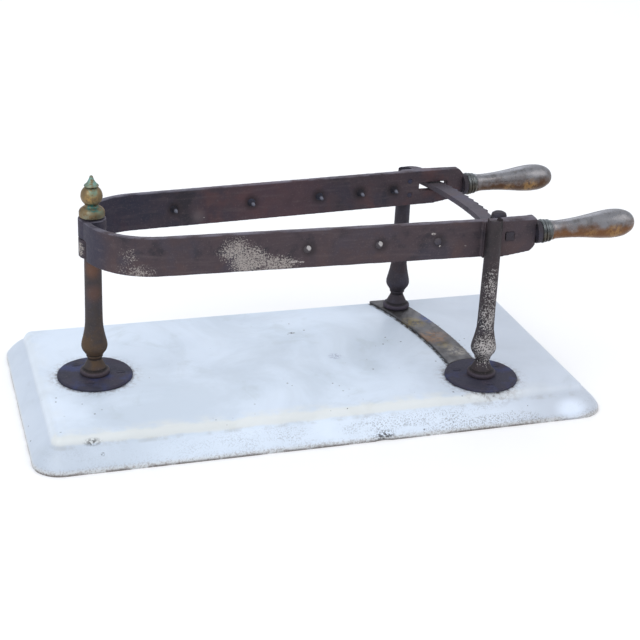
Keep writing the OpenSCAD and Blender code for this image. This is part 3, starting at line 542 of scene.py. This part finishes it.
# Painted on each post's turning: the ring at the foot lighter and bluish, a painted highlight, and the
# grooves near black, painted shade
turning_highlight_and_shade = ((post_foot + 2.8, 2.4, "#4b4452", 0.6), (post_foot + 6.4, 1.1, "#151315", 0.8),
                 (post_foot + 17.6, 1.0, "#151315", 0.75), (post_foot + 22, 0.9, "#151315", 0.7))
pivot_post_iron = forged_iron(
    "pivot_post_iron", dark="#333034", base="#433c3b", rust="#5c4936", blue_share=0.35, bands=turning_highlight_and_shade,
    tints=((-223, -9, 152, 2, 15, "#7a5238", 0.55), (-221, -9, 126, 2, 14, "#704c37", 0.45)))
fixed_post_iron = forged_iron(
    "scraped_post_iron", dark="#2a2729", base="#3a3336", rust="#463a3a", blue_share=0.2, fleck_mm=1.7,
    worn=((176, -97, 66, 2, 24, (1, 1, 0.8)), (176, -96, 98, -8, 22, (1, 1, 0.45)),
          (176, -96, 135, -8, 18, (1, 1, 0.4))), worn_colour="#b8b4b2", bareness=0.21,
    bands=turning_highlight_and_shade)
dark_iron = forged_iron(
    "dark_forged_iron", dark="#29262b", base="#38333a", rust="#41363a", bands=turning_highlight_and_shade)
pivot_axis = Vector((-221, 0, 0))
foot_ring_r = max(radius for radius, ring_height in post_turning)
shaft_foot_r = post_turning[-1][0]
hinge_gap = 0.3
spigot_r = 5.9
spigot_rise = 41.4
flat_depth = 2.3
for node, body_name, iron, top_radius in (
        ("pivot_post", "base", pivot_post_iron, 8.6), ("fixed_post", "base", fixed_post_iron, 8),
        ("moving_post", "swinging_arm", dark_iron, 8)):
    low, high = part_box(node)
    if node == "pivot_post":
        centre = pivot_axis
        reach = arm_low - hinge_gap - post_foot
    else:
        # the foot's ring stands out past the shaft, so it marks the post's axis in its box
        lean, inward = (fixed_lean, 1) if node == "fixed_post" else (moving_lean, -1)
        ring_side = low.y if inward > 0 else high.y
        centre = Vector(((low.x + high.x) / 2 / mm, ring_side / mm + inward * foot_ring_r, 0))
        reach = high.z / mm - post_foot
    foot = Vector((centre.x, centre.y, post_foot))
    outline = smooth_outline(post_turning + [((top_radius + shaft_foot_r) / 2, reach * 0.7),
                                             (top_radius, reach - 1), (top_radius - 1, reach)], 3)
    if node == "pivot_post":
        outline += [(spigot_r, reach + 0.02), (spigot_r, reach + spigot_rise - 0.8),
                    (spigot_r - 0.8, reach + spigot_rise)]
    post = turned("turned_" + node, outline, 44, foot)
    if node != "pivot_post":
        # a block cuts the flat that seats against the arm, from the arm's lower edge up
        forward, outward = along_and_out(lean, inward)
        cutter = Vector((60, 20, 80))
        bpy.ops.object.select_all(action="DESELECT")
        bpy.ops.mesh.primitive_cube_add(size=1, location=(0, 0, 0))
        block = bpy.context.active_object
        block.scale = cutter * mm
        block.rotation_euler = (0, 0, radians(lean))
        cutter_place = centre + outward * (top_radius - flat_depth + cutter.y / 2)
        cutter_place.z = arm_low - 0.2 + cutter.z / 2
        block.location = cutter_place * mm
        bpy.ops.object.transform_apply(location=True, rotation=True, scale=True)
        apply_modifier(post, "BOOLEAN", operation="DIFFERENCE", solver="EXACT", object=block)
        bpy.data.objects.remove(block)
        only(post)
        bpy.ops.object.shade_smooth_by_angle(angle=radians(32))
    fit_out(post, body_name, node, iron)

flange_iron = forged_iron("flange_plate_iron", dark="#2c2c3b", base="#3c3b4a", rust="#463e4c", blue="#3d446a",
                          blue_share=0.85, gloss=0.9)
for node in ("pivot_flange", "fixed_flange"):
    forged_copy(node, node + "_plate", "base", flange_iron, 0.5, 0.45)
# The countersunk screws and the rivets through the arms are of the same iron
for node in ("pivot_flange_screws", "fixed_flange_screws", "fixed_post_rivets", "moving_post_rivets"):
    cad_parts[node].data.materials.clear()
    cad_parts[node].data.materials.append(flange_iron)

# Lead run into the marble round the screws: dull grey, never polished
lead, tree = new_material("cast_lead")
place = add(tree, "ShaderNodeTexCoord", output="Object")
lead_colour = laid_over(tree, "#75787c", "#8b8e90", lumps(tree, place, 3, 0.4, 0.6))
lead_shader = add(tree, "ShaderNodeBsdfPrincipled", None, {
    "Metallic": 0.8, "Roughness": 0.6, "Base Color": lead_colour})
add(tree, "ShaderNodeOutputMaterial", None, {"Surface": lead_shader})
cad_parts["lead_plugs"].data.materials.clear()
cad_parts["lead_plugs"].data.materials.append(lead)


# ---- Spikes ----
# Forged cone spikes on the arms' inner faces.  Each shank goes through the
# strip and is hammered over to a small dome on the outer face.

# The pale spots on the upper sides of two rivet heads on the fixed arm are painted highlights, laid as worn
# patches
rivet_iron = forged_iron(
    "rivet_iron_painted_highlights", dark="#39363b", base="#4c464a", rust="#5a4c4c", worn_colour="#b9b6b6",
    worn=((-17, -77, arm_middle + 2.5, 2.5, 4.5, (1, 1, 1)),
          (58, -79, arm_middle + 2.5, 2.5, 4.5, (1, 1, 1))), fleck_mm=1, bareness=0.3)
spike_outline = [(0.25, -11), (0.9, -10.4), (1.9, -6.6), (3.2, -2.6), (4.1, -0.4), (4.4, 0.2), (2.45, 0.3),
                 (2.45, 5.9)]
rivet_outline = [(4.2, 5.7), (4.1, 6.3), (3.4, 7.1), (2.3, 7.6), (1.0, 7.85), (0.2, 7.9)]
# For each arm: its spikes' distances from the bow's centre, and how far out the inner face is
for arm, body_name, places, bow_x, lean, inner, away in (
        ("fixed_arm", "base", (145, 220, 283), fixed_bow_x, fixed_lean, 64, -1),
        ("moving_arm", "swinging_arm", (45, 131, 210, 259, 300), moving_bow_x, moving_lean, 61, 1)):
    forward, outward = along_and_out(lean, away)
    starts = [Vector((bow_x, 0, arm_middle)) + forward * reach + outward * inner for reach in places]
    tips = [start - outward * 8.5 for start in starts]
    # Each spike's tip is lighter blue-grey just above its point: partly bare metal and partly a painted
    # highlight
    spike_iron = forged_iron(
        arm + "_spike_iron", dark="#1c1b22", base="#27252d", rust="#302b33", blue="#4a5268",
        blue_share=0.4, gloss=0.9, tints=[(tip.x, tip.y, tip.z + 1, 1, 4.2, "#8b8d9b", 0.8) for tip in tips])
    for index, start in enumerate(starts):
        spike = turned("spike_%s_%d" % (arm, index + 1), spike_outline, 20, start, outward)
        fit_out(spike, body_name, arm + "_spikes", spike_iron)
        head = turned("rivet_%s_%d" % (arm, index + 1), rivet_outline, 20, start, outward)
        fit_out(head, body_name, arm + "_spikes", rivet_iron)


# ---- Latch ----
# A forged fork riveted through the fixed arm carries the flat toothed bar on a
# round-headed pin.  The bar passes through the window in the swinging arm.

bar_iron = forged_iron("grey_bar_iron", dark="#45424a", base="#57525a", rust="#5f555a", blue="#56566a")
forged_copy("latch_bracket", "forged_latch_fork", "base", dark_iron, 0.45, 0.1)
forged_copy("latch_pin", "round_headed_latch_pin", "base", dark_iron, 0.35, 0.1)
forged_copy("ratchet_bar", "toothed_latch_bar", "latch_bar", bar_iron, 0.42, 0.1)


# ---- Handles ----
# Turned brass grips on iron tangs, each with a ringed brass ferrule and an iron
# collar.  The brass is dull: grey-brown above and gold-brown below.

def old_brass(name, low="#6e4d33", high="#85827f", axis_at=None, tarnish="#3e382f", tarnish_share=0.45,
              shine=0.36, patches=()):
    """Brass gone dull from handling: a grey-brown skin above and a warmer one below the
    axis, pitted, with tarnish in clouds.  patches are (x, y, z, size, colour, share)."""
    material, tree = new_material(name)
    place = add(tree, "ShaderNodeTexCoord", output="Object")
    body = low
    if axis_at:
        start_x, start_z, rise_share = axis_at
        coordinates = add(tree, "ShaderNodeSeparateXYZ", None, {0: place}).node.outputs
        along = add(tree, "ShaderNodeMath", {"operation": "SUBTRACT"}, {0: coordinates[0], 1: start_x * mm})
        axis_height = add(tree, "ShaderNodeMath", {"operation": "MULTIPLY_ADD"}, {
            0: along, 1: rise_share, 2: start_z * mm})
        above = add(tree, "ShaderNodeMath", {"operation": "SUBTRACT"}, {0: coordinates[2], 1: axis_height})
        above = add(tree, "ShaderNodeMath", {"operation": "ADD"}, {
            0: above, 1: wavering(tree, place, 11, 11 * mm, 5, 0.65)})
        upper = add(tree, "ShaderNodeMapRange", smooth, {0: above, 1: -7 * mm, 2: 7 * mm})
        body = laid_over(tree, low, high, upper)
    body = laid_over(tree, body, tarnish, lumps(tree, place, 9, 0.48, 0.70, 6, 0.7), tarnish_share)
    body = laid_over(tree, body, "#a18c66", lumps(tree, place, 2.2, 0.60, 0.72, 4, 0.7), 0.35)
    for x, y, z, size, colour, share in patches:
        patch = near_point(tree, place, x, y, z, size * 0.4, size)
        body = laid_over(tree, body, colour, patch, lumps(tree, place, 5, 0.40, 0.56, 5, 0.7), share)
    pitting = add(tree, "ShaderNodeTexNoise", None, {
        "Vector": place, "Scale": 1000 / 2.6, "Detail": 5, "Roughness": 0.7, "Distortion": 0})
    bump = add(tree, "ShaderNodeBump", None, {"Strength": 0.3, "Distance": 0.35 * mm, "Height": pitting})
    rough = lumps(tree, place, 12, 0.5 - 1.6 * shine, 0.5 + 1.6 * (1 - shine))
    shader = add(tree, "ShaderNodeBsdfPrincipled", None, {
        "Metallic": 0.8, "Base Color": body, "Roughness": rough, "Normal": bump})
    add(tree, "ShaderNodeOutputMaterial", None, {"Surface": shader})
    return material


collar_outline = [(4.6, 0.02), (12.0, 0.02), (12.2, 0.8), (12.2, 4.2), (11.5, 5.4), (4.6, 5.45)]
ferrule_end = 17
ferrule_outline = [(4.6, 5.5), (11, 5.5)] + smooth_outline(
    [(11, 5.6), (12.5, 6.9), (12.5, 8.3), (11, 9.3), (12.1, 10.4), (12, 11.6), (10.8, 12.8), (11.7, 14),
     (11.6, 15.4), (10.6, ferrule_end)], 3)
grip_r = 15.3
# The grip's radii, each with its share of the grip's length
grip_shape = [(10, 0), (10.4, 0.02), (9.7, 0.06), (9.8, 0.16), (10.8, 0.31), (grip_r * 0.83, 0.47),
              (grip_r * 0.96, 0.62), (grip_r, 0.74), (grip_r * 0.92, 0.86), (grip_r * 0.66, 0.95),
              (grip_r * 0.34, 0.99), (0.6, 1)]
# For each arm: its upward tilt in degrees, the root's distance along the arm, out from
# its centre line and up from its lower edge, the side it faces, the grip's length and
# the brass's colour underneath
for node, body_name, bow_x, lean, tilt, reach, middle, rise, away, length, grip_low in (
        ("fixed", "base", fixed_bow_x, fixed_lean, 3, 390.5, 68.75, 24, -1, 96, "#6b4a31"),
        ("moving", "swinging_arm", moving_bow_x, moving_lean, 0.5, 386.5, 65.75, 18, 1, 101, "#4c3524")):
    forward, outward = along_and_out(lean, away)
    root = Vector((bow_x, 0, arm_low + rise)) + forward * reach + outward * middle
    axis = forward * cos(radians(tilt)) + Vector((0, 0, sin(radians(tilt))))
    # the brown starts 2.5 mm above the axis
    axis_at = (root.x, root.z + 2.5, sin(radians(tilt)))
    gold = root + axis * 88 + Vector((-3, -13, -5))
    grip_brass = old_brass(
        node + "_handle_brass", low=grip_low, high="#86868a", axis_at=axis_at,
        patches=((gold.x, gold.y, gold.z, 12, "#a07d4e", 0.55),
                 (gold.x - 26, gold.y + 1, gold.z - 2, 9, "#9a774c", 0.45)))
    ferrule_brass = old_brass(
        node + "_ferrule_brass", low="#4c463d", high="#676c6e", tarnish="#2d2e2f", axis_at=axis_at,
        tarnish_share=0.6)
    collar = turned(node + "_iron_collar", collar_outline, 40, root, axis)
    fit_out(collar, body_name, node + "_collar", dark_iron)
    ferrule = turned(node + "_ringed_ferrule", ferrule_outline, 48, root, axis)
    fit_out(ferrule, body_name, node + "_ferrule", ferrule_brass)
    grip_outline = smooth_outline([(radius, ferrule_end + share * length) for radius, share in grip_shape], 5)
    grip = turned(node + "_turned_grip", grip_outline, 56, root, axis)
    fit_out(grip, body_name, node + "_handle", grip_brass)


# ---- Finial and washer ----
# A turned brass nut holds the hinge down on an iron washer.  It is tan-grey on
# its collar and green with verdigris in the hollows, and the golden tan on the ball's
# left front is a painted highlight.

nut_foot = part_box("finial_nut")[0].z / mm
finial_brass = old_brass(
    "verdigris_finial_brass", low="#7d6c50", tarnish="#463d30", tarnish_share=0.85, shine=0.5,
    patches=((-221, 0, nut_foot + 38, 12, "#79a39b", 0.95), (-221, -8, nut_foot + 12, 9, "#2f6f6b", 0.95),
             # the golden tan patch on the ball's left front is a painted highlight
             (-223, -11, nut_foot + 21, 9, "#a98a55", 0.8), (-212, -10, nut_foot + 9, 7, "#3f7f76", 0.7),
             (-221, -9, nut_foot + 28, 7, "#6f8f80", 0.7), (-227, -11, nut_foot + 3, 9, "#85836f", 0.95),
             (-214, -11, nut_foot + 2, 8, "#6f6c58", 0.9)))
# A collar, a waist, a ball and a hollow-sided spire with a sharp skirt
finial_outline = [(12.2, 0), (12.8, 0.6), (12.9, 1.2)] + smooth_outline(
    [(12.9, 5), (12, 7.2), (9.8, 9.2), (7.6, 10.7), (6.9, 12.2), (7.6, 13.7), (9.6, 16.2), (10.8, 19.6),
     (10.9, 22.2), (10.2, 25.6), (8.2, 28.8), (5.6, 30.8)], 3) + [
    (7.2, 31.5), (7.4, 32.1), (7.0, 32.8), (5.6, 33.9), (4.3, 35.4), (3.2, 37.2), (2.3, 39.2), (1.9, 40.6),
    (1.5, 41.8), (0.4, 42.5)]
nut = turned("turned_finial_nut", finial_outline, 48, pivot_axis + Vector((0, 0, nut_foot)))
fit_out(nut, "base", "finial_nut", finial_brass)
washer_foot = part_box("hinge_washer")[0].z / mm
washer_outline = [(11.1, 0.02), (11.5, 0.3), (11.5, 1.2), (11.1, 1.48)]
washer = turned("hinge_iron_washer", washer_outline, 40, pivot_axis + Vector((0, 0, washer_foot)))
fit_out(washer, "base", "hinge_washer", dark_iron)


# ---- Brass track ----
# A strip of sheet brass, curved in plan, pinned to the slab for the swinging
# post's foot.  Worn dull grey-brown, with gold, rust and blue patches.

track_brass = old_brass(
    "worn_track_brass", low="#636264", tarnish="#4a494b", tarnish_share=0.7, shine=0.5,
    patches=((152, 54, 33, 18, "#8f8055", 0.6), (160, 12, 33, 22, "#96714f", 0.55),
             (178, 62, 33, 20, "#46527c", 0.95), (172, -28, 33, 16, "#9b968e", 0.8),
             (140, 100, 33, 24, "#4b4a48", 0.8), (165, -12, 33, 12, "#86774c", 0.5)))
track = forged_copy("slide_track", "curved_brass_track", "base", track_brass, 0.6, 0.15)
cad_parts["track_pins"].data.materials.clear()
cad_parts["track_pins"].data.materials.append(track_brass)
